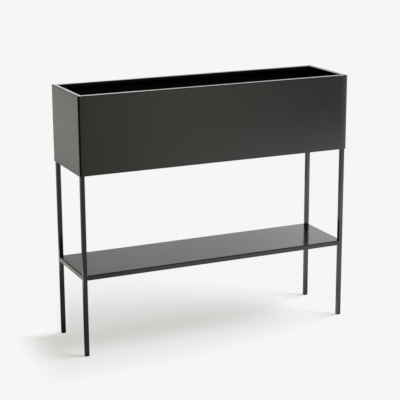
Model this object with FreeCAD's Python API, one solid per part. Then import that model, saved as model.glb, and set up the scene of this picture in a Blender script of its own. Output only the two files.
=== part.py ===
"""Console table planter: a folded sheet-steel trough on four square-tube legs, with a low shelf.

Millimetres. X runs along the length, Y from the front to the back and Z up.
The origin is on the floor, under the middle of the trough.
"""

import FreeCAD, Part
import math
import os

from FreeCAD import Vector

# Overall size
LENGTH = 900.0
DEPTH = 240.0
HEIGHT = 800.0

# Trough: walls folded round the corners, top edge turned in as a rim and down as a lip
TROUGH_HEIGHT = 238.0
WALL_SHEET = 1.5
WALL_BEND_INSIDE = 1.5
RIM_WIDTH = 15.0
RIM_LIP = 9.0
RIM_BEND = 2.0
RIM_OPENING_CORNER = 1.0

# Trough floor: a tray with its flanges turned up inside the walls
FLOOR_RECESS = 18.0
FLOOR_SHEET = 1.5
FLOOR_FLANGE = 15.0
FLOOR_BEND_INSIDE = 1.0
FLOOR_CORNER_INSIDE = 1.5

# Legs: square tube, set in from the trough's walls
LEG_SIZE = 12.7
LEG_WALL = 1.2
LEG_CORNER = 1.0
LEG_GAP = 1.5

# Plate welded on each leg's top, and the stud that holds it under the trough's floor
PLATE_SIZE = 44.0
PLATE_THICKNESS = 3.0
PLATE_CORNER = 5.0
STUD_FROM_EDGE = 10.0
STUD_RADIUS = 3.0
STUD_LENGTH = 12.0
WASHER_RADIUS = 6.2
WASHER_THICKNESS = 1.6
NUT_ACROSS_FLATS = 10.0
NUT_HEIGHT = 5.0

# Feet: plastic plugs with a ribbed stem in the tube
FOOT_HEIGHT = 5.0
FOOT_EDGE = 0.8
FOOT_STEM = 17.0
FOOT_RIBS = 3
FOOT_RIB = 1.4
FOOT_RIB_DEPTH = 0.9

# Shelf: a sheet with four folded edges, notched at the corners
SHELF_TOP = 256.0
SHELF_SHEET = 1.5
SHELF_EDGE = 15.0
SHELF_BEND_INSIDE = 1.5
SHELF_RETURN = 10.0
SHELF_RETURN_FROM_LEG = 40.0

# Hat-section strip under the shelf
STIFFENER_SHEET = 1.2
STIFFENER_LENGTH = 780.0
STIFFENER_DEPTH = 10.0
STIFFENER_WEB = 22.0
STIFFENER_FOOT = 12.0

# Angle bracket at each corner of the shelf, its screw and the rivet nut in the leg
BRACKET_SHEET = 2.0
BRACKET_HEIGHT = 12.0
BRACKET_BEND_INSIDE = 0.6
SCREW_RADIUS = 2.5
SCREW_LENGTH = 10.0
SCREW_HEAD_ACROSS_FLATS = 8.0
SCREW_HEAD = 3.5
RIVET_NUT_ACROSS_FLATS = 7.0
RIVET_NUT_FLANGE_RADIUS = 4.6
RIVET_NUT_FLANGE = 0.6
RIVET_NUT_LENGTH = 8.0

# Clearances
THREAD_FIT = 0.1
HOLE_FIT = 0.3
STEM_FIT = 0.1

# Places that follow from the sizes above
TROUGH_BOTTOM = HEIGHT - TROUGH_HEIGHT
FLOOR_UNDERSIDE = TROUGH_BOTTOM + FLOOR_RECESS
LEG_INSET = WALL_SHEET + LEG_GAP
LEG_OUTER_X = LENGTH / 2 - LEG_INSET
LEG_OUTER_Y = DEPTH / 2 - LEG_INSET
LEG_CENTRE_X = LEG_OUTER_X - LEG_SIZE / 2
LEG_CENTRE_Y = LEG_OUTER_Y - LEG_SIZE / 2
LEG_TOP = FLOOR_UNDERSIDE - PLATE_THICKNESS
SHELF_UNDERSIDE = SHELF_TOP - SHELF_SHEET
SHELF_NOTCH = LEG_SIZE + RIVET_NUT_FLANGE
BRACKET_Z = SHELF_UNDERSIDE - BRACKET_HEIGHT / 2

# Which way each corner lies from the middle
CORNERS = {
    "front_left": (-1, -1),
    "front_right": (1, -1),
    "back_left": (-1, 1),
    "back_right": (1, 1),
}


def block(x0, x1, y0, y1, z0, z1):
    """A box between two corners."""
    return Part.makeBox(x1 - x0, y1 - y0, z1 - z0, Vector(x0, y0, z0))


def is_upright(edge):
    """True for an edge that runs along Z."""
    box = edge.BoundBox
    return box.ZLength > box.XLength + box.YLength


def is_level_at(edge, height):
    """True for an edge that lies in the plane at one height."""
    box = edge.BoundBox
    return abs(box.ZMin - height) < 1e-4 and abs(box.ZMax - height) < 1e-4


def round_uprights(shape, radius):
    """The shape with its upright edges rounded."""
    return shape.makeFillet(radius, [edge for edge in shape.Edges if is_upright(edge)])


def round_level(shape, height, radius):
    """The shape with every edge at one height rounded."""
    return shape.makeFillet(radius, [edge for edge in shape.Edges if is_level_at(edge, height)])


def rounded_prism(length, depth, corner, z0, z1):
    """An upright prism about the Z axis, a rectangle in plan with rounded corners."""
    prism = block(-length / 2, length / 2, -depth / 2, depth / 2, z0, z1)
    return round_uprights(prism, corner)


def to_corner(shape, side_x, side_y):
    """A shape modelled in the corner at +X and +Y, turned over to another corner."""
    if side_x < 0:
        shape = shape.mirror(Vector(0, 0, 0), Vector(1, 0, 0))
    if side_y < 0:
        shape = shape.mirror(Vector(0, 0, 0), Vector(0, 1, 0))
    return shape


def at_every_corner(shape):
    """Separate copies of a shape, one for each corner, as one group."""
    return Part.makeCompound([to_corner(shape, *sides) for sides in CORNERS.values()])


def trough_shell():
    """Walls, rim and lip: a rounded box, hollowed from below and opened at the top."""
    inner_length = LENGTH - 2 * WALL_SHEET
    inner_depth = DEPTH - 2 * WALL_SHEET
    opening_length = LENGTH - 2 * RIM_WIDTH
    opening_depth = DEPTH - 2 * RIM_WIDTH
    rim_underside = HEIGHT - WALL_SHEET
    lip_bottom = HEIGHT - RIM_LIP
    lip_corner = RIM_OPENING_CORNER + WALL_SHEET

    outside = rounded_prism(LENGTH, DEPTH, WALL_BEND_INSIDE + WALL_SHEET, TROUGH_BOTTOM, HEIGHT)
    outside = round_level(outside, HEIGHT, RIM_BEND)
    hollow = rounded_prism(inner_length, inner_depth, WALL_BEND_INSIDE, TROUGH_BOTTOM, rim_underside)
    lip = rounded_prism(
        opening_length + 2 * WALL_SHEET, opening_depth + 2 * WALL_SHEET, lip_corner, lip_bottom, HEIGHT
    )
    opening = rounded_prism(opening_length, opening_depth, RIM_OPENING_CORNER, TROUGH_BOTTOM, HEIGHT)
    shell = outside.cut(hollow).fuse(lip).cut(opening).removeSplitter()

    def borders_opening(edge):
        centre = edge.CenterOfMass
        within = abs(centre.x) < opening_length / 2 + 1e-3 and abs(centre.y) < opening_depth / 2 + 1e-3
        return within and is_level_at(edge, HEIGHT)

    return shell.makeFillet(RIM_BEND, [edge for edge in shell.Edges if borders_opening(edge)])


def trough_floor():
    """A shallow tray between the walls, its flanges turned up."""
    length = LENGTH - 2 * WALL_SHEET
    depth = DEPTH - 2 * WALL_SHEET
    corner = FLOOR_CORNER_INSIDE + FLOOR_SHEET
    top = FLOOR_UNDERSIDE + FLOOR_FLANGE
    outside = rounded_prism(length, depth, corner, FLOOR_UNDERSIDE, top)
    outside = round_level(outside, FLOOR_UNDERSIDE, FLOOR_BEND_INSIDE + FLOOR_SHEET)
    hollow_bottom = FLOOR_UNDERSIDE + FLOOR_SHEET
    hollow = rounded_prism(
        length - 2 * FLOOR_SHEET, depth - 2 * FLOOR_SHEET, FLOOR_CORNER_INSIDE, hollow_bottom, top
    )
    hollow = round_level(hollow, hollow_bottom, FLOOR_BEND_INSIDE)
    return outside.cut(hollow)


def leg():
    """A square tube from its foot to its top plate, with the six-sided hole for the rivet nut."""
    half_bore = LEG_SIZE / 2 - LEG_WALL
    tube = rounded_prism(LEG_SIZE, LEG_SIZE, LEG_CORNER, FOOT_HEIGHT, LEG_TOP)
    tube = tube.cut(block(-half_bore, half_bore, -half_bore, half_bore, FOOT_HEIGHT, LEG_TOP))
    tube.translate(Vector(LEG_CENTRE_X, LEG_CENTRE_Y, 0))
    inner_face = Vector(LEG_OUTER_X - LEG_SIZE, LEG_CENTRE_Y, BRACKET_Z)
    hole = hexagonal_prism(RIVET_NUT_ACROSS_FLATS + 2 * HOLE_FIT, 2 * LEG_WALL, inner_face, Vector(1, 0, 0))
    return tube.cut(hole)


def foot():
    """A plug under the leg: a square head, and a stem with ribs that grip the tube."""
    head = rounded_prism(LEG_SIZE, LEG_SIZE, LEG_CORNER, 0, FOOT_HEIGHT)
    head = head.makeChamfer(FOOT_EDGE, [edge for edge in head.Edges if is_level_at(edge, 0)])
    half_rib = LEG_SIZE / 2 - LEG_WALL - STEM_FIT
    half_core = half_rib - FOOT_RIB_DEPTH
    core = block(-half_core, half_core, -half_core, half_core, FOOT_HEIGHT, FOOT_HEIGHT + FOOT_STEM)
    plug = head.fuse(core)
    pitch = (FOOT_STEM - FOOT_RIB) / FOOT_RIBS
    for number in range(1, FOOT_RIBS + 1):
        bottom = FOOT_HEIGHT + number * pitch
        plug = plug.fuse(block(-half_rib, half_rib, -half_rib, half_rib, bottom, bottom + FOOT_RIB))
    plug = plug.removeSplitter()
    plug.translate(Vector(LEG_CENTRE_X, LEG_CENTRE_Y, 0))
    return plug


def stud_place(height):
    """A point on the axis of a plate's stud, at the plate's corner away from the leg."""
    inwards = PLATE_SIZE - STUD_FROM_EDGE
    return Vector(LEG_OUTER_X - inwards, LEG_OUTER_Y - inwards, height)


def leg_plate():
    """A flat plate on the leg's top, level with its outer faces, with a stud hole."""
    inner_x = LEG_OUTER_X - PLATE_SIZE
    inner_y = LEG_OUTER_Y - PLATE_SIZE
    plate = block(inner_x, LEG_OUTER_X, inner_y, LEG_OUTER_Y, LEG_TOP, FLOOR_UNDERSIDE)
    plate = plate.makeChamfer(PLATE_CORNER, [edge for edge in plate.Edges if is_upright(edge)])
    return plate.cut(Part.makeCylinder(STUD_RADIUS + HOLE_FIT, PLATE_THICKNESS, stud_place(LEG_TOP)))


def leg_studs():
    """Studs welded under the floor."""
    end = stud_place(FLOOR_UNDERSIDE - STUD_LENGTH)
    return at_every_corner(Part.makeCylinder(STUD_RADIUS, STUD_LENGTH, end))


def leg_washers():
    """Flat washers under the plates."""
    bottom = stud_place(LEG_TOP - WASHER_THICKNESS)
    disc = Part.makeCylinder(WASHER_RADIUS, WASHER_THICKNESS, bottom)
    return at_every_corner(disc.cut(Part.makeCylinder(STUD_RADIUS + HOLE_FIT, WASHER_THICKNESS, bottom)))


def hexagonal_prism(across_flats, height, base, axis):
    """A six-sided prism from a point along an axis."""
    corner = across_flats / math.sqrt(3)
    turn = FreeCAD.Rotation(Vector(0, 0, 1), axis)
    angles = [math.radians(60 * number) for number in range(7)]
    points = [base + turn.multVec(Vector(corner * math.cos(a), corner * math.sin(a), 0)) for a in angles]
    return Part.Face(Part.makePolygon(points)).extrude(axis * height)


def leg_nuts():
    """Hexagon nuts under the washers."""
    base = stud_place(LEG_TOP - WASHER_THICKNESS - NUT_HEIGHT)
    nut = hexagonal_prism(NUT_ACROSS_FLATS, NUT_HEIGHT, base, Vector(0, 0, 1))
    return at_every_corner(nut.cut(Part.makeCylinder(STUD_RADIUS + THREAD_FIT, NUT_HEIGHT, base)))


def shelf_tray():
    """A sheet folded down on four sides, returned under the long sides, notched for the legs."""
    length = 2 * LEG_OUTER_X
    depth = 2 * LEG_OUTER_Y
    edge_bottom = SHELF_TOP - SHELF_EDGE
    outside = block(-length / 2, length / 2, -depth / 2, depth / 2, edge_bottom, SHELF_TOP)
    outside = round_level(outside, SHELF_TOP, SHELF_BEND_INSIDE + SHELF_SHEET)
    hollow_x = length / 2 - SHELF_SHEET
    hollow_y = depth / 2 - SHELF_SHEET
    hollow = block(-hollow_x, hollow_x, -hollow_y, hollow_y, edge_bottom, SHELF_UNDERSIDE)
    tray = outside.cut(round_level(hollow, SHELF_UNDERSIDE, SHELF_BEND_INSIDE))
    for side_x, side_y in CORNERS.values():
        notch = block(
            LEG_OUTER_X - SHELF_NOTCH, LEG_OUTER_X, LEG_OUTER_Y - SHELF_NOTCH, LEG_OUTER_Y, edge_bottom, SHELF_TOP
        )
        tray = tray.cut(to_corner(notch, side_x, side_y))
    return_end = LEG_OUTER_X - SHELF_NOTCH - SHELF_RETURN_FROM_LEG
    mitred = [
        Vector(-return_end, hollow_y, edge_bottom),
        Vector(return_end, hollow_y, edge_bottom),
        Vector(return_end - SHELF_RETURN, hollow_y - SHELF_RETURN, edge_bottom),
        Vector(SHELF_RETURN - return_end, hollow_y - SHELF_RETURN, edge_bottom),
    ]
    strip = Part.Face(Part.makePolygon(mitred + mitred[:1])).extrude(Vector(0, 0, SHELF_SHEET))
    tray = tray.fuse([strip, to_corner(strip, 1, -1)])
    return tray.removeSplitter()


def shelf_stiffener():
    """A hat section along the shelf, open side up, its feet welded under the sheet."""
    half_web = STIFFENER_WEB / 2
    half_width = half_web + STIFFENER_FOOT
    foot_bottom = SHELF_UNDERSIDE - STIFFENER_SHEET
    web_bottom = SHELF_UNDERSIDE - STIFFENER_DEPTH
    half_outline = [
        (half_web - STIFFENER_SHEET, web_bottom + STIFFENER_SHEET),
        (half_web - STIFFENER_SHEET, SHELF_UNDERSIDE),
        (half_width, SHELF_UNDERSIDE),
        (half_width, foot_bottom),
        (half_web, foot_bottom),
        (half_web, web_bottom),
    ]
    outline = half_outline + [(-y, z) for y, z in reversed(half_outline)]
    points = [Vector(-STIFFENER_LENGTH / 2, y, z) for y, z in outline]
    return Part.Face(Part.makePolygon(points + points[:1])).extrude(Vector(STIFFENER_LENGTH, 0, 0))


def shelf_bracket():
    """An angle inside the tray's notch, facing two sides of the leg."""
    face_x = LEG_OUTER_X - SHELF_NOTCH
    face_y = LEG_OUTER_Y - SHELF_NOTCH
    end_x = LEG_OUTER_X - SHELF_SHEET
    end_y = LEG_OUTER_Y - SHELF_SHEET
    bottom = SHELF_UNDERSIDE - BRACKET_HEIGHT
    angle = block(face_x - BRACKET_SHEET, end_x, face_y - BRACKET_SHEET, end_y, bottom, SHELF_UNDERSIDE)
    angle = angle.cut(block(face_x, end_x, face_y, end_y, bottom, SHELF_UNDERSIDE))

    def upright_at(x, y):
        return [
            edge
            for edge in angle.Edges
            if is_upright(edge) and abs(edge.BoundBox.XMin - x) + abs(edge.BoundBox.YMin - y) < 1e-3
        ]

    outer_bend = BRACKET_BEND_INSIDE + BRACKET_SHEET
    angle = angle.makeFillet(outer_bend, upright_at(face_x - BRACKET_SHEET, face_y - BRACKET_SHEET))
    angle = angle.makeFillet(BRACKET_BEND_INSIDE, upright_at(face_x, face_y))
    start = Vector(face_x - BRACKET_SHEET, LEG_CENTRE_Y, BRACKET_Z)
    return angle.cut(Part.makeCylinder(SCREW_RADIUS + HOLE_FIT, BRACKET_SHEET, start, Vector(1, 0, 0)))


def shelf_screws():
    """Six-sided screws through the brackets, pointing outwards into the legs."""
    outwards = Vector(1, 0, 0)
    seat = Vector(LEG_OUTER_X - SHELF_NOTCH - BRACKET_SHEET, LEG_CENTRE_Y, BRACKET_Z)
    shank = Part.makeCylinder(SCREW_RADIUS, SCREW_LENGTH, seat, outwards)
    head = hexagonal_prism(SCREW_HEAD_ACROSS_FLATS, SCREW_HEAD, seat - outwards * SCREW_HEAD, outwards)
    return at_every_corner(head.fuse(shank).removeSplitter())


def leg_rivet_nuts():
    """Rivet nuts in the legs' inner walls: a six-sided body that can't turn, under a thin flange."""
    outwards = Vector(1, 0, 0)
    wall = Vector(LEG_OUTER_X - LEG_SIZE, LEG_CENTRE_Y, BRACKET_Z)
    flange_start = wall - outwards * RIVET_NUT_FLANGE
    body = hexagonal_prism(RIVET_NUT_ACROSS_FLATS, RIVET_NUT_LENGTH, wall, outwards)
    flange = Part.makeCylinder(RIVET_NUT_FLANGE_RADIUS, RIVET_NUT_FLANGE, flange_start, outwards)
    thread_length = RIVET_NUT_FLANGE + RIVET_NUT_LENGTH
    thread = Part.makeCylinder(SCREW_RADIUS + THREAD_FIT, thread_length, flange_start, outwards)
    return at_every_corner(body.fuse(flange).cut(thread).removeSplitter())


pieces = {
    "trough_shell": trough_shell(),
    "trough_floor": trough_floor(),
    "leg_studs": leg_studs(),
    "leg_washers": leg_washers(),
    "leg_nuts": leg_nuts(),
    "shelf_tray": shelf_tray(),
    "shelf_stiffener": shelf_stiffener(),
    "shelf_screws": shelf_screws(),
    "leg_rivet_nuts": leg_rivet_nuts(),
}
corner_pieces = {
    "leg": leg(),
    "foot": foot(),
    "leg_plate": leg_plate(),
    "shelf_bracket": shelf_bracket(),
}
for name, shape in corner_pieces.items():
    for corner, sides in CORNERS.items():
        pieces[f"{name}_{corner}"] = to_corner(shape, *sides)

os.makedirs("parts", exist_ok=True)
for name, shape in pieces.items():
    shape.exportStep(f"parts/{name}.step")
    solids = len(shape.Solids)
    print(f"{name}: {solids} solid(s), {shape.Volume:.0f} mm3, valid {shape.isValid()}")
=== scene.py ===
"""Looks of a console table planter: satin black sheet-steel trough, square-tube legs and low shelf."""

import bpy
import math
from mathutils import Matrix, Vector


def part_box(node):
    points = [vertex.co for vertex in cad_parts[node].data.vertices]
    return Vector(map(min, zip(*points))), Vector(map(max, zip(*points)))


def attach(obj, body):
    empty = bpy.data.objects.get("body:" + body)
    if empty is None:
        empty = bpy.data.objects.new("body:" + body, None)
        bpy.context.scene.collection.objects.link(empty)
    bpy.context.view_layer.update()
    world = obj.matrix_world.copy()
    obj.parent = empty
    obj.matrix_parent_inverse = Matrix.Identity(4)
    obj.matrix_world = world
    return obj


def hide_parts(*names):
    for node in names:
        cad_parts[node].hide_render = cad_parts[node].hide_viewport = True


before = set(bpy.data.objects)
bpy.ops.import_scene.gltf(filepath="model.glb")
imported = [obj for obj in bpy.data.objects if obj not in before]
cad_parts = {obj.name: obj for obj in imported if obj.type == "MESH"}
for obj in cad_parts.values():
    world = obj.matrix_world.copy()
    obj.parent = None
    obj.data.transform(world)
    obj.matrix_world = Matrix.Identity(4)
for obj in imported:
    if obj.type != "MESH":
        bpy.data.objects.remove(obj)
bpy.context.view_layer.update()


# Trough walls: one sheet of steel folded round four corners, its top edge turned in as a rim and down
# as a lip, under a satin black powder coat. The coat flows before it sets, so it has a faint
# orange-peel skin, and its gloss drifts a little from place to place.
def add(tree, kind, inputs=None, **settings):
    """A new node in a tree, with its settings made and its inputs set or linked, by name or number."""
    node = tree.nodes.new(kind)
    for name, value in settings.items():
        setattr(node, name, value)
    for key, value in (inputs or {}).items():
        if isinstance(value, bpy.types.NodeSocket):
            tree.links.new(value, node.inputs[key])
        else:
            node.inputs[key].default_value = value
    return node


def reckon(tree, operation, first, second=0.0):
    """The result of a Math node."""
    return add(tree, "ShaderNodeMath", {0: first, 1: second}, operation=operation).outputs["Value"]


def spread(tree, value, start, end, from_level=0.0, to_level=1.0, **settings):
    """An even change from one level to another while a value goes from start to end."""
    return add(
        tree, "ShaderNodeMapRange",
        {"Value": value, "From Min": start, "From Max": end, "To Min": from_level, "To Max": to_level},
        **settings,
    ).outputs["Result"]


def finish_nodes(names, material):
    """A finish on CAD nodes, put in the material slots of their objects."""
    for name in names:
        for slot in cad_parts[name].material_slots:
            slot.material = material


coat_black = (0.0055, 0.0055, 0.0058, 1.0)
coat_paler_black = (0.0095, 0.0095, 0.0098, 1.0)
coat_smoothest = 0.15
coat_roughest = 0.19
coat_refraction = 1.5
coat_drift_per_metre = 9.0
coat_drift_detail = 4.0
coat_drift_span = (0.3, 0.7)
coat_peel_per_metre = 850.0
coat_peel_detail = 2.0
coat_peel_strength = 0.12
coat_peel_depth = 0.00006
powder_coat = bpy.data.materials.new("satin_powder_coat")
powder_coat.use_nodes = True
coat = powder_coat.node_tree
coat_place = add(coat, "ShaderNodeTexCoord").outputs["Object"]
coat_drift = add(
    coat, "ShaderNodeTexNoise",
    {"Vector": coat_place, "Scale": coat_drift_per_metre, "Detail": coat_drift_detail},
).outputs["Fac"]
coat_colour = add(
    coat, "ShaderNodeMix", {"Factor": coat_drift, "A": coat_black, "B": coat_paler_black}, data_type="RGBA"
)
coat_roughness = spread(coat, coat_drift, *coat_drift_span, coat_smoothest, coat_roughest)
coat_peel = add(
    coat, "ShaderNodeTexNoise",
    {"Vector": coat_place, "Scale": coat_peel_per_metre, "Detail": coat_peel_detail},
).outputs["Fac"]
coat_skin = add(
    coat, "ShaderNodeBump",
    {"Height": coat_peel, "Strength": coat_peel_strength, "Distance": coat_peel_depth},
)
coat_shader = coat.nodes["Principled BSDF"]
coat_shader.inputs["IOR"].default_value = coat_refraction
coat.links.new(coat_colour.outputs["Result"], coat_shader.inputs["Base Color"])
coat.links.new(coat_roughness, coat_shader.inputs["Roughness"])
coat.links.new(coat_skin.outputs["Normal"], coat_shader.inputs["Normal"])

# The long walls roll over a little towards their folds, where the sheet was drawn into the bend, and
# lean over more in the last few millimetres before it. Both drops are in metres.
roll_width = 0.028
roll_drop = 0.0007
lean_width = 0.003
lean_drop = 0.0006
fold_radius = 0.003
wall_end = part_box("trough_shell")[1].x
fold_start = wall_end - fold_radius
wall_coat = powder_coat.copy()
wall_coat.name = "satin_powder_coat_on_walls"
wall = wall_coat.node_tree
wall_place = wall.nodes["Texture Coordinate"].outputs["Object"]
wall_across = add(wall, "ShaderNodeSeparateXYZ", {"Vector": wall_place}).outputs["X"]
wall_side = reckon(wall, "ABSOLUTE", wall_across)
wall_roll = reckon(wall, "POWER", spread(wall, wall_side, wall_end - roll_width, wall_end), 2.0)
wall_roll = reckon(wall, "MULTIPLY", wall_roll, roll_drop)
wall_lean = spread(wall, wall_side, fold_start - lean_width, fold_start, 0.0, lean_drop)
wall_drop = reckon(wall, "ADD", wall_roll, wall_lean)
wall_turn = add(
    wall, "ShaderNodeBump", {"Height": wall_drop, "Strength": 1.0, "Distance": 1.0}, invert=True
)
wall.links.new(wall_turn.outputs["Normal"], wall.nodes["Bump"].inputs["Normal"])
finish_nodes(["trough_shell"], wall_coat)


# Trough floor: a shallow steel tray between the walls, held to them from below by short welds and
# coated together with them. A weld is a bead of melted wire that sets in ripples, one behind the next.
def new_tree(name, sizes):
    """An empty Geometry Nodes tree, with places and named sizes coming in and a piece going out."""
    tree = bpy.data.node_groups.new(name, "GeometryNodeTree")
    tree.interface.new_socket("Places", in_out="INPUT", socket_type="NodeSocketGeometry")
    for size in sizes:
        tree.interface.new_socket(size, in_out="INPUT", socket_type="NodeSocketFloat")
    tree.interface.new_socket("Piece", in_out="OUTPUT", socket_type="NodeSocketGeometry")
    return tree, add(tree, "NodeGroupInput").outputs


def close_tree(tree, shapes, material):
    """The end of a tree: its shapes made real, and a finish put on them."""
    real = add(tree, "GeometryNodeRealizeInstances", {"Geometry": shapes})
    finished = add(
        tree, "GeometryNodeSetMaterial", {"Geometry": real.outputs["Geometry"], "Material": material}
    )
    add(tree, "NodeGroupOutput", {"Piece": finished.outputs["Geometry"]})


def make_piece(name, tree, sizes, points, edges=(), axes=()):
    """A plain mesh that a tree makes at some places, riding on the object's one body."""
    places = bpy.data.meshes.new(name)
    places.from_pydata(points, edges, [])
    if axes:
        directions = places.attributes.new("axis", "FLOAT_VECTOR", "POINT")
        for item, axis in zip(directions.data, axes):
            item.vector = axis
    piece = bpy.data.objects.new(name, places)
    bpy.context.scene.collection.objects.link(piece)
    modifier = piece.modifiers.new(name, "NODES")
    modifier.node_group = tree
    for socket in tree.interface.items_tree:
        if socket.name in sizes:
            modifier[socket.identifier] = sizes[socket.name]
    graph = bpy.context.evaluated_depsgraph_get()
    made = bpy.data.meshes.new_from_object(piece.evaluated_get(graph))
    piece.modifiers.remove(modifier)
    piece.data = made
    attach(piece, "root")
    return piece


finish_nodes(["trough_floor"], powder_coat)
bead_facets = 10
bend_points = 6
ripple_per_radius = 0.22
ripple_steps = 4
ripple_fall = 0.06
end_power = 0.18
end_least = 0.3
swell_least = 0.93
swell_seed = 4
weld_tree, weld_sizes = new_tree("weld_beads", ("Bead radius", "Ripple step"))
weld_lines = add(weld_tree, "GeometryNodeMeshToCurve", {"Mesh": weld_sizes["Places"]})
weld_bends = add(
    weld_tree, "GeometryNodeFilletCurve",
    {"Curve": weld_lines.outputs["Curve"], "Count": bend_points, "Radius": weld_sizes["Bead radius"]},
    mode="POLY",
)
weld_points = add(
    weld_tree, "GeometryNodeResampleCurve",
    {"Curve": weld_bends.outputs["Curve"], "Length": weld_sizes["Ripple step"]}, mode="LENGTH",
)

# Four times the way along a bead, times the way that is left, is 1 in the middle and 0 at both ends.
weld_way = add(weld_tree, "GeometryNodeSplineParameter").outputs["Factor"]
weld_way_left = reckon(weld_tree, "SUBTRACT", 1.0, weld_way)
weld_ends = reckon(weld_tree, "MULTIPLY", reckon(weld_tree, "MULTIPLY", weld_way, weld_way_left), 4.0)
weld_ends = reckon(weld_tree, "MAXIMUM", reckon(weld_tree, "POWER", weld_ends, end_power), end_least)
weld_number = add(weld_tree, "GeometryNodeInputIndex").outputs["Index"]
weld_step = reckon(weld_tree, "MODULO", weld_number, ripple_steps)
weld_ripple = reckon(weld_tree, "SUBTRACT", 1.0, reckon(weld_tree, "MULTIPLY", weld_step, ripple_fall))
weld_swell = add(
    weld_tree, "FunctionNodeRandomValue", {"Min": swell_least, "Max": 1.0, "Seed": swell_seed},
    data_type="FLOAT",
).outputs["Value"]
weld_surface = reckon(weld_tree, "MULTIPLY", weld_ripple, weld_swell)
weld_radius = reckon(weld_tree, "MULTIPLY", weld_sizes["Bead radius"], weld_ends)
weld_radius = reckon(weld_tree, "MULTIPLY", weld_radius, weld_surface)
weld_section = add(
    weld_tree, "GeometryNodeCurvePrimitiveCircle", {"Resolution": bead_facets, "Radius": 1.0}
)
weld_bead = add(
    weld_tree, "GeometryNodeCurveToMesh",
    {
        "Curve": weld_points.outputs["Curve"],
        "Profile Curve": weld_section.outputs["Curve"],
        "Scale": weld_radius,
        "Fill Caps": True,
    },
)
close_tree(weld_tree, weld_bead.outputs["Mesh"], powder_coat)


def weld(name, seams, radius):
    """Weld beads, each along a line of points."""
    points = []
    steps = []
    for seam in seams:
        steps += [(len(points) + number, len(points) + number + 1) for number in range(len(seam) - 1)]
        points += seam
    sizes = {"Bead radius": radius, "Ripple step": ripple_per_radius * radius}
    return make_piece(name, weld_tree, sizes, points, steps)


floor_low, floor_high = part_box("trough_floor")
floor_bead = 0.0014
stitch_half = 0.0125
stitch_z = floor_low.z + 0.0008
stitch_from_edge = 0.0005
long_side_stitches = (-0.32, -0.16, 0.0, 0.16, 0.32)
end_stitches = (-0.05, 0.05)
floor_seams = []
for side in (-1, 1):
    stitch_y = side * (floor_high.y - stitch_from_edge)
    for middle in long_side_stitches:
        start, end = middle - stitch_half, middle + stitch_half
        floor_seams.append([(start, stitch_y, stitch_z), (end, stitch_y, stitch_z)])
    stitch_x = side * (floor_high.x - stitch_from_edge)
    for middle in end_stitches:
        start, end = middle - stitch_half, middle + stitch_half
        floor_seams.append([(stitch_x, start, stitch_z), (stitch_x, end, stitch_z)])
weld("trough_floor_welds", floor_seams, floor_bead)


# Legs: square steel tubes, each with a flat plate welded across its top, coated like the trough.
# The plate is level with the tube's outer faces, so the weld runs round the two inner ones.
def inner_seam(name, side_x, side_y, margin):
    """A line round the two inner sides of a CAD node at its top, stopping short of the outer ones."""
    low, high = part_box(name)
    inner_x, outer_x = (low.x, high.x)[::side_x]
    inner_y, outer_y = (low.y, high.y)[::side_y]
    return [
        (inner_x, outer_y - side_y * margin, high.z),
        (inner_x, inner_y, high.z),
        (outer_x - side_x * margin, inner_y, high.z),
    ]


corners = {"front_left": (-1, -1), "front_right": (1, -1), "back_left": (-1, 1), "back_right": (1, 1)}
leg_bead = 0.0018
leg_weld_margin = 0.0015
leg_seams = []
for corner, sides in corners.items():
    finish_nodes([f"leg_{corner}", f"leg_plate_{corner}"], powder_coat)
    leg_seams.append(inner_seam(f"leg_{corner}", *sides, leg_weld_margin))
weld("leg_plate_welds", leg_seams, leg_bead)

# Studs, washers and nuts: one M6 set at each corner, of bright zinc-plated steel. The stud is welded
# under the trough's floor and comes down through the leg's plate, and the nut pulls the plate up.
zinc_colour = (0.55, 0.56, 0.58, 1.0)
zinc_smoothest = 0.24
zinc_roughest = 0.36
zinc_patches_per_metre = 260.0
zinc_patch_span = (0.3, 0.7)
zinc = bpy.data.materials.new("bright_zinc")
zinc.use_nodes = True
zinc_shader = zinc.node_tree.nodes["Principled BSDF"]
zinc_shader.inputs["Base Color"].default_value = zinc_colour
zinc_shader.inputs["Metallic"].default_value = 1.0
zinc_place = add(zinc.node_tree, "ShaderNodeTexCoord").outputs["Object"]
zinc_patches = add(
    zinc.node_tree, "ShaderNodeTexNoise", {"Vector": zinc_place, "Scale": zinc_patches_per_metre}
).outputs["Fac"]
zinc_roughness = spread(zinc.node_tree, zinc_patches, *zinc_patch_span, zinc_smoothest, zinc_roughest)
zinc.node_tree.links.new(zinc_roughness, zinc_shader.inputs["Roughness"])
finish_nodes(["leg_washers"], zinc)


def shifted(tree, shape, distance):
    """A shape moved along its upright axis."""
    step = add(tree, "ShaderNodeCombineXYZ", {"Z": distance})
    return add(
        tree, "GeometryNodeTransform", {"Geometry": shape, "Translation": step.outputs["Vector"]}
    ).outputs["Geometry"]


def set_at_places(tree, places, shape):
    """Copies of a shape at every place, with its upright axis turned along the place's own axis."""
    axis = add(tree, "GeometryNodeInputNamedAttribute", {"Name": "axis"}, data_type="FLOAT_VECTOR")
    turn = add(tree, "FunctionNodeAlignRotationToVector", {"Vector": axis.outputs["Attribute"]}, axis="Z")
    return add(
        tree, "GeometryNodeInstanceOnPoints",
        {"Points": places, "Instance": shape, "Rotation": turn.outputs["Rotation"]},
    ).outputs["Instances"]


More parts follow.
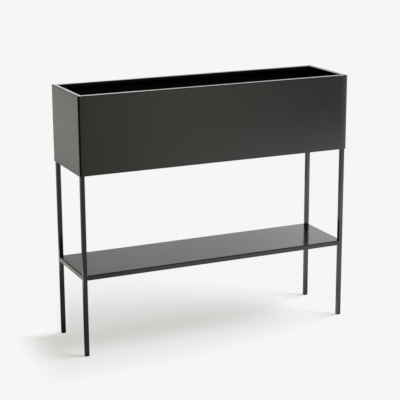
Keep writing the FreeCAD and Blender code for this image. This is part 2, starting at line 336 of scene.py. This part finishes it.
rod_facets = 24
ridge_sides = 3
rod_tree, rod_sizes = new_tree(
    "threaded_rods",
    ("Length", "Core radius", "Thread radius", "Ridge radius", "Turns", "Thread length", "Thread start"),
)
rod_helix = add(
    rod_tree, "GeometryNodeCurveSpiral",
    {
        "Resolution": rod_facets,
        "Rotations": rod_sizes["Turns"],
        "Start Radius": rod_sizes["Thread radius"],
        "End Radius": rod_sizes["Thread radius"],
        "Height": rod_sizes["Thread length"],
        "Reverse": True,
    },
)
rod_upright = add(
    rod_tree, "GeometryNodeSetCurveNormal", {"Curve": rod_helix.outputs["Curve"]}, mode="Z_UP"
)
rod_ridge = add(
    rod_tree, "GeometryNodeCurvePrimitiveCircle",
    {"Resolution": ridge_sides, "Radius": rod_sizes["Ridge radius"]},
)
rod_thread = add(
    rod_tree, "GeometryNodeCurveToMesh",
    {"Curve": rod_upright.outputs["Curve"], "Profile Curve": rod_ridge.outputs["Curve"], "Fill Caps": True},
)
rod_core = add(
    rod_tree, "GeometryNodeMeshCylinder",
    {"Vertices": rod_facets, "Radius": rod_sizes["Core radius"], "Depth": rod_sizes["Length"]},
)
rod_whole = add(rod_tree, "GeometryNodeJoinGeometry", {"Geometry": rod_core.outputs["Mesh"]})
rod_tree.links.new(
    shifted(rod_tree, rod_thread.outputs["Mesh"], rod_sizes["Thread start"]), rod_whole.inputs["Geometry"]
)
close_tree(rod_tree, set_at_places(rod_tree, rod_sizes["Places"], rod_whole.outputs["Geometry"]), zinc)

thread_depth = 0.61


def threaded_rods(name, radius, pitch, length, middles, axes):
    """Rods with a V thread from end to end, as deep as a set share of its pitch."""
    thread_length = length - pitch
    ridge_radius = pitch / math.sqrt(3)
    sizes = {
        "Length": length,
        "Core radius": radius - thread_depth * pitch,
        "Thread radius": radius - ridge_radius,
        "Ridge radius": ridge_radius,
        "Turns": thread_length / pitch,
        "Thread length": thread_length,
        "Thread start": -thread_length / 2,
    }
    return make_piece(name, rod_tree, sizes, middles, axes=axes)


cone_facets = 48
recess_facets = 32
hexagon_tree, hexagon_sizes = new_tree(
    "hexagons",
    (
        "Corner radius", "Height", "Cone tip radius", "Cone base radius", "Cone height", "Cone start",
        "Recess radius", "Recess length", "Recess middle",
    ),
)
hexagon_prism = add(
    hexagon_tree, "GeometryNodeMeshCylinder",
    {"Vertices": 6, "Radius": hexagon_sizes["Corner radius"], "Depth": hexagon_sizes["Height"]},
)
hexagon_cone = add(
    hexagon_tree, "GeometryNodeMeshCone",
    {
        "Vertices": cone_facets,
        "Radius Top": hexagon_sizes["Cone tip radius"],
        "Radius Bottom": hexagon_sizes["Cone base radius"],
        "Depth": hexagon_sizes["Cone height"],
    },
)
hexagon_bevelled = add(
    hexagon_tree, "GeometryNodeMeshBoolean", {1: hexagon_prism.outputs["Mesh"]}, operation="INTERSECT"
)
hexagon_tree.links.new(
    shifted(hexagon_tree, hexagon_cone.outputs["Mesh"], hexagon_sizes["Cone start"]),
    hexagon_bevelled.inputs[1],
)
hexagon_recess = add(
    hexagon_tree, "GeometryNodeMeshCylinder",
    {
        "Vertices": recess_facets,
        "Radius": hexagon_sizes["Recess radius"],
        "Depth": hexagon_sizes["Recess length"],
    },
)
hexagon_whole = add(
    hexagon_tree, "GeometryNodeMeshBoolean",
    {
        0: hexagon_bevelled.outputs["Mesh"],
        1: shifted(hexagon_tree, hexagon_recess.outputs["Mesh"], hexagon_sizes["Recess middle"]),
    },
    operation="DIFFERENCE",
)
close_tree(
    hexagon_tree, set_at_places(hexagon_tree, hexagon_sizes["Places"], hexagon_whole.outputs["Mesh"]), zinc
)

bevel_start = 0.475
bevel_slope = math.sqrt(3)
cone_over = 0.1
cone_under = 1.5


def hexagons(name, across_flats, height, recess_radius, recess_depth, middles, axes):
    """Six-sided heads or nuts, bevelled at the end that their axis points to and recessed there."""
    bevel_radius = bevel_start * across_flats
    sizes = {
        "Corner radius": across_flats / math.sqrt(3),
        "Height": height,
        "Cone tip radius": bevel_radius - cone_over * height * bevel_slope,
        "Cone base radius": bevel_radius + cone_under * height * bevel_slope,
        "Cone height": (cone_over + cone_under) * height,
        "Cone start": -height,
        "Recess radius": recess_radius,
        "Recess length": 2 * recess_depth,
        "Recess middle": height / 2,
    }
    return make_piece(name, hexagon_tree, sizes, middles, axes=axes)


stud_radius = 0.003
stud_pitch = 0.001
nut_across_flats = 0.010
nut_bore_radius = 0.0031
stud_low, stud_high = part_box("leg_studs")
nut_low, nut_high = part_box("leg_nuts")
nut_height = nut_high.z - nut_low.z
nut_bore_depth = 1.1 * nut_height
stud_middles = []
nut_middles = []
for side_x, side_y in corners.values():
    stud_x = side_x * (stud_high.x - stud_radius)
    stud_y = side_y * (stud_high.y - stud_radius)
    stud_middles.append((stud_x, stud_y, (stud_low.z + stud_high.z) / 2))
    nut_middles.append((stud_x, stud_y, (nut_low.z + nut_high.z) / 2))
upwards = [(0.0, 0.0, 1.0)] * len(corners)
downwards = [(0.0, 0.0, -1.0)] * len(corners)
studs = threaded_rods(
    "leg_threaded_studs", stud_radius, stud_pitch, stud_high.z - stud_low.z, stud_middles, upwards
)
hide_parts("leg_studs")
nuts = hexagons(
    "leg_bevelled_nuts", nut_across_flats, nut_height, nut_bore_radius, nut_bore_depth,
    nut_middles, downwards,
)
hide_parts("leg_nuts")

# Shelf: one sheet with its four edges folded down and notched round the legs, a hat-section stiffener
# stitched along its underside, and a small angle welded into each notch, all coated as one.
finish_nodes(["shelf_tray", "shelf_stiffener"], powder_coat)
finish_nodes([f"shelf_bracket_{corner}" for corner in corners], powder_coat)
stiffener_low, stiffener_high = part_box("shelf_stiffener")
stiffener_stitch_half = 0.009
stiffener_stitches = (-0.36, -0.24, -0.12, 0.0, 0.12, 0.24, 0.36)
shelf_bead = 0.0012
angle_weld_margin = 0.001
shelf_seams = []
for stitch_y in (stiffener_low.y, stiffener_high.y):
    for middle in stiffener_stitches:
        shelf_seams.append([
            (middle - stiffener_stitch_half, stitch_y, stiffener_high.z),
            (middle + stiffener_stitch_half, stitch_y, stiffener_high.z),
        ])
for corner, sides in corners.items():
    shelf_seams.append(inner_seam(f"shelf_bracket_{corner}", *sides, angle_weld_margin))
weld("shelf_welds", shelf_seams, shelf_bead)

# Shelf screws: an M5 hexagon screw with a dished head goes through each angle into a rivet nut, which
# is squeezed tight in the leg's inner wall. Both are zinc-plated like the studs.
finish_nodes(["leg_rivet_nuts"], zinc)
screw_radius = 0.0025
screw_pitch = 0.0008
screw_length = 0.010
head_height = 0.0035
head_across_flats = 0.008
head_dish_radius = 0.0027
head_dish_depth = 0.0003
screw_low, screw_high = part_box("shelf_screws")
screw_z = (screw_low.z + screw_high.z) / 2
leg_low, leg_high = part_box("leg_back_right")
screw_y = (leg_low.y + leg_high.y) / 2
shank_x = screw_high.x - screw_length / 2
head_x = screw_high.x - screw_length - head_height / 2
head_axes = [(-1.0 * side_x, 0.0, 0.0) for side_x, side_y in corners.values()]
shank_middles = [(side_x * shank_x, side_y * screw_y, screw_z) for side_x, side_y in corners.values()]
head_middles = [(side_x * head_x, side_y * screw_y, screw_z) for side_x, side_y in corners.values()]
shanks = threaded_rods(
    "shelf_screw_shanks", screw_radius, screw_pitch, screw_length, shank_middles, head_axes
)
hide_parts("shelf_screws")
heads = hexagons(
    "shelf_screw_heads", head_across_flats, head_height, head_dish_radius, head_dish_depth,
    head_middles, head_axes,
)
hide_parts("shelf_screws")

# Feet: push-in plugs of black polyethylene that close the ends of the legs, with the fine spark
# texture of their mould.
foot_black = (0.008, 0.008, 0.0085, 1.0)
foot_roughness = 0.55
foot_sparks_per_metre = 2600.0
foot_spark_strength = 0.3
foot_spark_depth = 0.00008
foot_plastic = bpy.data.materials.new("foot_polyethylene")
foot_plastic.use_nodes = True
foot = foot_plastic.node_tree
foot_place = add(foot, "ShaderNodeTexCoord").outputs["Object"]
foot_sparks = add(
    foot, "ShaderNodeTexNoise", {"Vector": foot_place, "Scale": foot_sparks_per_metre}
).outputs["Fac"]
foot_grain = add(
    foot, "ShaderNodeBump",
    {"Height": foot_sparks, "Strength": foot_spark_strength, "Distance": foot_spark_depth},
)
foot_shader = foot.nodes["Principled BSDF"]
foot_shader.inputs["Base Color"].default_value = foot_black
foot_shader.inputs["Roughness"].default_value = foot_roughness
foot.links.new(foot_grain.outputs["Normal"], foot_shader.inputs["Normal"])
finish_nodes([f"foot_{corner}" for corner in corners], foot_plastic)

# Camera: a long lens from the front left, a little above the rim. Its turns are in radians, and its
# lens and film in millimetres.
camera_place = Vector((-1.6217, -3.5245, 1.4224))
camera_yaw = 0.4289
camera_pitch = 0.2542
camera_roll = -0.0046
camera_lens = 113.57
camera_film = 36.0
forward = Vector((
    math.sin(camera_yaw) * math.cos(camera_pitch),
    math.cos(camera_yaw) * math.cos(camera_pitch),
    -math.sin(camera_pitch),
))
level_right = Vector((math.cos(camera_yaw), -math.sin(camera_yaw), 0.0))
level_up = level_right.cross(forward)
right = level_right * math.cos(camera_roll) + level_up * math.sin(camera_roll)
up = level_up * math.cos(camera_roll) - level_right * math.sin(camera_roll)
camera_data = bpy.data.cameras.new("camera")
camera_data.lens = camera_lens
camera_data.sensor_width = camera_film
camera = bpy.data.objects.new("camera", camera_data)
camera_turn = Matrix((right, up, -forward)).transposed().to_4x4()
camera.matrix_world = Matrix.Translation(camera_place) @ camera_turn
bpy.context.scene.collection.objects.link(camera)
bpy.context.scene.camera = camera


# Studio floor: a seamless white sweep. Part of what the camera sees of it is a painted glow of white,
# an emission and no lamp, so that the shadow stays as pale as on a retouched product picture.
def along(tree, place, direction):
    """How far a place lies along a direction."""
    return add(
        tree, "ShaderNodeVectorMath", {0: place, 1: direction}, operation="DOT_PRODUCT"
    ).outputs["Value"]


def ramp(tree, value, start, end, from_level, to_level):
    """A soft change from one level to another while a value goes from start to end."""
    return spread(tree, value, start, end, from_level, to_level, interpolation_type="SMOOTHSTEP")


def blend(tree, share, first, second):
    """A level between two levels."""
    return add(tree, "ShaderNodeMix", {"Factor": share, "A": first, "B": second}).outputs["Result"]


def tint(tree, share, first, second):
    """A colour between two colours."""
    return add(
        tree, "ShaderNodeMix", {"Factor": share, "A": first, "B": second}, data_type="RGBA"
    ).outputs["Result"]


def bands(tree, value, stops):
    """A colour that changes from stop to stop while a value goes from the first to the last."""
    first, last = stops[0][0], stops[-1][0]
    step = add(tree, "ShaderNodeValToRGB", {"Fac": spread(tree, value, first, last)})
    elements = step.color_ramp.elements
    while len(elements) < len(stops):
        elements.new(1.0)
    for element, (position, colour) in zip(elements, stops):
        element.position = (position - first) / (last - first)
        element.color = (*colour, 1.0)
    return step.outputs["Color"]


# The glow is warmer and the lit white bluer, which paints a warm tint into the shadow.
lit_white = (0.914, 0.919, 0.964, 1.0)
painted_glow_white = (0.930, 0.925, 0.880, 1.0)
clean_white = (0.922, 0.922, 0.922, 1.0)
floor_painted_glow_share = 0.53
reach = 60.0
floor_corners = [(-reach, -reach, 0.0), (reach, -reach, 0.0), (reach, reach, 0.0), (-reach, reach, 0.0)]
floor_mesh = bpy.data.meshes.new("studio_floor")
floor_mesh.from_pydata(floor_corners, [], [(0, 1, 2, 3)])
studio_floor = bpy.data.objects.new("studio_floor", floor_mesh)
bpy.context.scene.collection.objects.link(studio_floor)
floor_paint = bpy.data.materials.new("studio_floor_paint")
floor_paint.use_nodes = True
sweep = floor_paint.node_tree
sweep.nodes.remove(sweep.nodes["Principled BSDF"])
floor_place = add(sweep, "ShaderNodeTexCoord").outputs["Object"]
floor_path = add(sweep, "ShaderNodeLightPath").outputs
floor_across = along(sweep, floor_place, (1.0, 0.0, 0.0))
floor_depth = along(sweep, floor_place, (0.0, 1.0, 0.0))

# The far end of the shadow is painted out with the glow's white: beyond the left legs, to the left,
# and in front.
beyond_slant = (1.0, -0.336, 0.0)
beyond_edge = (-0.52, -0.44)
behind_edge = (0.07, 0.15)
left_slant = (1.0, -0.137, 0.0)
left_edge = (-0.628, -0.48)
front_edge = (-0.33, -0.20)
beyond_left = ramp(sweep, along(sweep, floor_place, beyond_slant), *beyond_edge, 1.0, 0.0)
beyond_behind = ramp(sweep, floor_depth, *behind_edge, 0.0, 1.0)
shadow_painted_out_beyond = reckon(sweep, "MULTIPLY", beyond_left, beyond_behind)
shadow_painted_out_left = ramp(sweep, along(sweep, floor_place, left_slant), *left_edge, 1.0, 0.0)
shadow_painted_out_front = ramp(sweep, floor_depth, *front_edge, 1.0, 0.0)
shadow_painted_out = reckon(sweep, "MAXIMUM", reckon(sweep, "MAXIMUM", shadow_painted_out_beyond, shadow_painted_out_left), shadow_painted_out_front)
camera_share = blend(sweep, shadow_painted_out, floor_painted_glow_share, 1.0)
camera_white = tint(sweep, shadow_painted_out, painted_glow_white, clean_white)

# In front, glossy rays see the floor as a painted reflection for the walls to mirror: paler and darker
# glowing bands laid out on it like a fan, and a long painted pool of light near by.
fan_point = (-1.6, 3.3)
painted_fan_bands = (
    (0.17, (0.010, 0.010, 0.010)),
    (0.235, (0.62, 0.57, 0.46)),
    (0.32, (0.663, 0.614, 0.497)),
    (0.37, (0.789, 0.737, 0.592)),
    (0.43, (1.078, 1.016, 0.869)),
    (0.512, (0.841, 0.806, 0.711)),
    (0.56, (0.545, 0.545, 0.495)),
    (0.595, (0.318, 0.329, 0.308)),
    (0.612, (0.32, 0.33, 0.31)),
    (0.68, (1.50, 1.52, 1.48)),
)
fan_across = reckon(sweep, "SUBTRACT", floor_across, fan_point[0])
fan_depth = reckon(sweep, "SUBTRACT", fan_point[1], floor_depth)
painted_fan_tone = bands(sweep, reckon(sweep, "DIVIDE", fan_across, fan_depth), painted_fan_bands)
pool_directions = ((0.857, 0.516, 0.0), (0.516, -0.857, 0.0))
pool_middle = (0.613, 1.375)
pool_size = (1.265, 3.172)
pool_gain = 2.23
pool_offsets = []
for direction, middle, size in zip(pool_directions, pool_middle, pool_size):
    offset = reckon(sweep, "SUBTRACT", along(sweep, floor_place, direction), middle)
    offset = reckon(sweep, "DIVIDE", offset, size)
    pool_offsets.append(reckon(sweep, "MULTIPLY", offset, offset))
pool_distance = reckon(sweep, "SQRT", reckon(sweep, "ADD", *pool_offsets))
pool = ramp(sweep, pool_distance, 0.0, 1.0, pool_gain, 0.0)
far_painted_reflection = add(sweep, "ShaderNodeVectorMath", {0: painted_fan_tone, 1: pool}, operation="ADD").outputs["Vector"]

# Close by, where the legs and the shelf's edge mirror it, the painted reflection is grey, with painted
# shade: a darker painted strip across it at the right and a painted shadow by each front foot.
near_edge = (-2.3, -1.9)
strip_shade = 0.36
strip_end = (0.10, 0.35)
strip_far_edge = (-1.04, -0.94)
strip_near_edge = (-0.80, -0.70)
left_patch_shade = 0.4
left_patch_edge = (-0.60, -0.36)
left_patch_end = (-0.30, -0.15)
right_patch_shade = 0.22
right_patch_edge = (-0.75, -0.40)
right_patch_end = (0.30, 0.50)
# The strip and the two patches are painted shade and painted shadows, seen by glossy rays only.
strip_far = ramp(sweep, floor_depth, *strip_far_edge, 0.0, 1.0)
strip_near = ramp(sweep, floor_depth, *strip_near_edge, 1.0, 0.0)
strip = ramp(sweep, floor_across, *strip_end, 0.0, strip_shade)
strip = reckon(sweep, "MULTIPLY", strip, reckon(sweep, "MULTIPLY", strip_far, strip_near))
left_foot_painted_shadow = ramp(sweep, floor_depth, *left_patch_edge, 0.0, left_patch_shade)
left_foot_painted_shadow = reckon(sweep, "MULTIPLY", left_foot_painted_shadow, ramp(sweep, floor_across, *left_patch_end, 1.0, 0.0))
right_foot_painted_shadow = ramp(sweep, floor_depth, *right_patch_edge, 0.0, right_patch_shade)
right_foot_painted_shadow = reckon(sweep, "MULTIPLY", right_foot_painted_shadow, ramp(sweep, floor_across, *right_patch_end, 0.0, 1.0))
near_painted_shade = reckon(sweep, "SUBTRACT", 1.0, reckon(sweep, "ADD", strip, left_foot_painted_shadow))
near_painted_shade = reckon(sweep, "SUBTRACT", near_painted_shade, right_foot_painted_shadow)
near_painted_reflection = reckon(sweep, "MULTIPLY", far_painted_reflection, near_painted_shade)
front_painted_reflection = tint(sweep, ramp(sweep, floor_depth, *near_edge, 0.0, 1.0), far_painted_reflection, near_painted_reflection)

# Behind, the floor that the gloss mirrors has painted shade close to the object, and one glowing pale
# strip that the shelf's left end mirrors as a painted highlight.
warm_white = (0.985, 0.968, 0.90)
back_levels = (
    (-2.75, 0.02),
    (-2.30, 1.0),
    (-1.19, 1.02),
    (-1.10, 0.35),
    (-0.76, 0.14),
    (-0.735, 0.14),
    (-0.712, 2.9),
    (-0.682, 2.9),
    (-0.66, 0.10),
    (-0.47, 0.10),
    (-0.38, 1.0),
)
back_painted_bands = [(place, tuple(level * part for part in warm_white)) for place, level in back_levels]
back_painted_reflection = bands(sweep, floor_across, back_painted_bands)
front_end = (-0.25, 0.1)
in_front = ramp(sweep, floor_depth, *front_end, 1.0, 0.0)

# Glossy rays see the painted reflections in place of the floor's lit white.
seen_in_gloss = floor_path["Is Glossy Ray"]
floor_lit = add(
    sweep, "ShaderNodeBsdfDiffuse", {"Color": tint(sweep, seen_in_gloss, lit_white, back_painted_reflection)}
)
floor_painted_glow = add(
    sweep, "ShaderNodeEmission", {"Color": tint(sweep, seen_in_gloss, camera_white, front_painted_reflection)}
)
painted_glow_share = reckon(
    sweep, "ADD",
    reckon(sweep, "MULTIPLY", floor_path["Is Camera Ray"], camera_share),
    reckon(sweep, "MULTIPLY", seen_in_gloss, in_front),
)
floor_above = add(
    sweep, "ShaderNodeMixShader",
    {0: painted_glow_share, 1: floor_lit.outputs["BSDF"], 2: floor_painted_glow.outputs["Emission"]},
)

# From below the floor is clear, so that the underside can be looked at.
floor_under = add(sweep, "ShaderNodeNewGeometry").outputs["Backfacing"]
floor_clear = add(sweep, "ShaderNodeBsdfTransparent")
floor_whole = add(
    sweep, "ShaderNodeMixShader",
    {0: floor_under, 1: floor_above.outputs["Shader"], 2: floor_clear.outputs["BSDF"]},
)
sweep.links.new(floor_whole.outputs["Shader"], sweep.nodes["Material Output"].inputs["Surface"])
floor_mesh.materials.append(floor_paint)

# Surround: plain white to the eye. In the gloss it glows at the back right, most of all low down, with
# a low strip of light straight behind, and it is dimmer in front. What it scatters is kept low.
scattered_level = 0.06
plain_white = (1.0, 1.0, 1.0, 1.0)
high_tint = (0.96, 1.0, 0.945, 1.0)
high_right_tint = (0.977, 1.0, 0.989, 1.0)
low_tint = (1.0, 0.985, 0.975, 1.0)
low_tint_top = (0.16, 0.26)
glow_azimuth = math.radians(62.0)
glow_side = (math.sin(glow_azimuth), math.cos(glow_azimuth), 0.0)
glow_edge = (0.40, 1.1)
glow_levels = (0.02, 1.575)
low_gain_top = (0.14, 0.28)
low_gain_edge = (0.31, 0.42)
low_gains = (4.5, 2.25)
right_end = (0.435, 0.49)
high_gains = (1.0, 1.18)
ground_top = (0.07, 0.19)
ground_level = 0.05
low_light_left = (-0.32, -0.22)
low_light_right = (0.12, 0.22)
low_light_top = (0.32, 0.38)
low_light_depth = (0.6, 0.8)
low_light_level = 1.2
front_depth = (-0.5, 0.0)
front_glow = 0.25
overhead_start = (0.5, 0.9)
overhead_depth = (0.0, 0.4)
overhead_front_share = 0.1
overhead_glow = 2.0
surround = bpy.data.worlds.new("studio_surround")
surround.use_nodes = True
sky = surround.node_tree
sky_place = add(sky, "ShaderNodeTexCoord").outputs["Generated"]
sky_path = add(sky, "ShaderNodeLightPath").outputs
sky_across = along(sky, sky_place, (1.0, 0.0, 0.0))
sky_depth = along(sky, sky_place, (0.0, 1.0, 0.0))
sky_height = along(sky, sky_place, (0.0, 0.0, 1.0))
glow = ramp(sky, along(sky, sky_place, glow_side), *glow_edge, *glow_levels)
low_gain = ramp(sky, sky_across, *low_gain_edge, *low_gains)
high_gain = ramp(sky, sky_across, *right_end, *high_gains)
glow_gain = blend(sky, ramp(sky, sky_height, *low_gain_top, 1.0, 0.0), high_gain, low_gain)
glow_gain = reckon(sky, "MULTIPLY", glow_gain, ramp(sky, sky_height, *ground_top, ground_level, 1.0))
low_light_ends = reckon(
    sky, "MULTIPLY",
    ramp(sky, sky_across, *low_light_left, 0.0, 1.0), ramp(sky, sky_across, *low_light_right, 1.0, 0.0),
)
low_light = ramp(sky, sky_height, *low_light_top, low_light_level, 0.0)
low_light = reckon(sky, "MULTIPLY", low_light_ends, low_light)
low_light = reckon(sky, "MULTIPLY", low_light, ramp(sky, sky_depth, *low_light_depth, 0.0, 1.0))
back_level = reckon(sky, "MAXIMUM", low_light, reckon(sky, "MULTIPLY", glow, glow_gain))
front_level = ramp(sky, sky_depth, *front_depth, front_glow, 0.0)
top_level = reckon(
    sky, "MULTIPLY",
    ramp(sky, sky_height, *overhead_start, 0.0, overhead_glow),
    ramp(sky, sky_depth, *overhead_depth, overhead_front_share, 1.0),
)
mirrored_level = reckon(sky, "ADD", reckon(sky, "MAXIMUM", back_level, front_level), top_level)
mirrored_tint = tint(sky, ramp(sky, sky_across, *right_end, 0.0, 1.0), high_tint, high_right_tint)
mirrored_tint = tint(sky, ramp(sky, sky_height, *low_tint_top, 1.0, 0.0), mirrored_tint, low_tint)
mirrored = reckon(sky, "MAXIMUM", sky_path["Is Glossy Ray"], sky_path["Is Transmission Ray"])
sky_level = blend(sky, mirrored, scattered_level, mirrored_level)
sky_level = blend(sky, sky_path["Is Camera Ray"], sky_level, clean_white[0])
sky_colour = tint(sky, sky_path["Is Camera Ray"], mirrored_tint, plain_white)
sky.links.new(sky_colour, sky.nodes["Background"].inputs["Color"])
sky.links.new(sky_level, sky.nodes["Background"].inputs["Strength"])
bpy.context.scene.world = surround
bpy.context.scene.view_settings.view_transform = "Standard"

# Softbox: one broad soft light from the right, which the gloss doesn't mirror.
softbox_energy = 4.66
softbox_spread = math.radians(55.5)
softbox_from = Vector((0.755, -0.178, 0.631))
softbox = bpy.data.lights.new("softbox", "SUN")
softbox.energy = softbox_energy
softbox.angle = softbox_spread
softbox_lamp = bpy.data.objects.new("softbox", softbox)
softbox_lamp.rotation_mode = "QUATERNION"
softbox_lamp.rotation_quaternion = softbox_from.to_track_quat("Z", "Y")
softbox_lamp.visible_glossy = False
bpy.context.scene.collection.objects.link(softbox_lamp)
